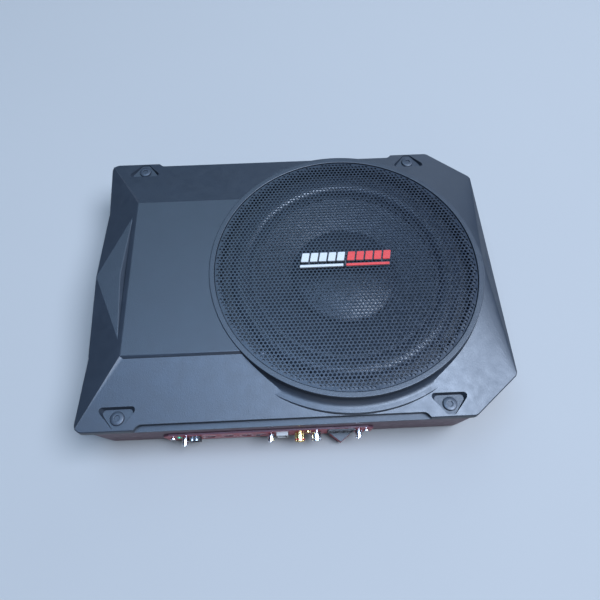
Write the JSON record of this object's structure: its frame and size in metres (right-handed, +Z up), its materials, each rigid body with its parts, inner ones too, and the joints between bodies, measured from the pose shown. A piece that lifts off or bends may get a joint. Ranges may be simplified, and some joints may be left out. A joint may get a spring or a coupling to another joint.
{
  "type": "powered car subwoofer",
  "caption": "Slim powered under-seat car subwoofer: cast top housing with a perforated round grille, slim woofer and built-in amplifier with a control panel on its front wall.",
  "frame": {"origin": "on the surface it stands on, at the middle of the object's box", "axes": "+Z up, +X to the right along the long side, the control panel faces -Y"},
  "size_m": [0.3445, 0.2642, 0.0777],
  "materials": {
    "casting": "fine-textured dark blue-grey powder coat, satin",
    "chassis": "dark maroon-charcoal powder coat, satin",
    "panel": "maroon paint, semi-matt, white printed marks",
    "rubber": "matt black",
    "black_steel": "black paint, satin",
    "black_plastic": "fine moulded texture",
    "white_plastic": "satin",
    "red_plastic": "satin",
    "zinc": "zinc plate, satin",
    "spider_cloth": "resin-treated cotton",
    "cone_pulp": "matt black pulp",
    "ferrite": "sintered, matt",
    "copper": "enamelled wire",
    "circuit_board": "solder mask",
    "chrome": "polished",
    "gold": "gold plate",
    "green_lamp": "translucent green lens"
  },
  "bodies": {
    "enclosure": {"top_housing": "casting", "lower_chassis": "chassis", "housing_gasket": "rubber", "foot_front_left": "rubber", "foot_front_right": "rubber", "foot_rear_left": "rubber", "foot_rear_right": "rubber", "housing_screw_front_left": "black_steel", "housing_screw_front_right": "black_steel", "housing_screw_rear_left": "black_steel", "housing_screw_rear_right": "black_steel", "grille_mesh": "black_steel", "badge_plate": "black_plastic", "badge_white_bar": "white_plastic", "badge_red_bar": "red_plastic", "driver_basket": "black_steel", "driver_screw_1": "zinc", "driver_screw_2": "zinc", "driver_screw_3": "zinc", "driver_screw_4": "zinc", "surround": "rubber", "spider": "spider_cloth", "top_plate": "zinc", "magnet": "ferrite", "pole_yoke": "zinc", "amplifier_board": "circuit_board", "amplifier_heat_sink": "zinc", "toroid_transformer": "copper", "filter_capacitor_1": "black_plastic", "filter_capacitor_2": "black_plastic", "control_panel": "panel", "panel_stud_left": "chrome", "panel_stud_centre": "chrome", "panel_stud_right": "chrome", "panel_screw_left": "chrome", "panel_screw_right": "chrome", "power_lamp": "green_lamp", "remote_port": "black_plastic", "gain_pot": "black_plastic", "crossover_pot": "black_plastic", "bass_boost_pot": "black_plastic", "phase_switch_body": "black_plastic", "speaker_level_input": "white_plastic", "rca_shell_red": "gold", "rca_shell_white": "chrome", "rca_insulator_red": "red_plastic", "rca_insulator_white": "white_plastic", "jack_ground_screw": "gold", "power_terminal": "black_plastic", "terminal_screw_1": "zinc", "terminal_screw_2": "zinc", "terminal_screw_3": "zinc", "terminal_shelf": "casting"},
    "moving_cone": {"cone": "cone_pulp", "dust_cap": "cone_pulp", "voice_coil": "copper"},
    "gain_knob": {"gain_knob": "black_plastic"},
    "crossover_knob": {"crossover_knob": "black_plastic"},
    "bass_boost_knob": {"bass_boost_knob": "black_plastic"},
    "phase_slider": {"phase_slider": "black_plastic"}
  },
  "joints": [
    {"name": "cone_stroke", "type": "slide", "parent": "enclosure", "child": "moving_cone", "axis": [0, 0, 1], "range_m": [-0.005, 0.005], "stiffness_N_per_m": 3500, "deforming": ["surround", "spider"]},
    {"name": "gain_turn", "type": "hinge", "parent": "enclosure", "child": "gain_knob", "pos_m": [-0.0746, -0.1217, 0.01702], "axis": [0, -0.9919, -0.1273], "range_deg": [-140, 140]},
    {"name": "crossover_turn", "type": "hinge", "parent": "enclosure", "child": "crossover_knob", "pos_m": [-0.0597, -0.1217, 0.01702], "axis": [0, -0.9919, -0.1273], "range_deg": [-140, 140]},
    {"name": "bass_boost_turn", "type": "hinge", "parent": "enclosure", "child": "bass_boost_knob", "pos_m": [-0.0449, -0.1217, 0.01702], "axis": [0, -0.9919, -0.1273], "range_deg": [-140, 140]},
    {"name": "phase_slide", "type": "slide", "parent": "enclosure", "child": "phase_slider", "axis": [1, 0, 0], "range_m": [0, 0.004]}
  ]
}
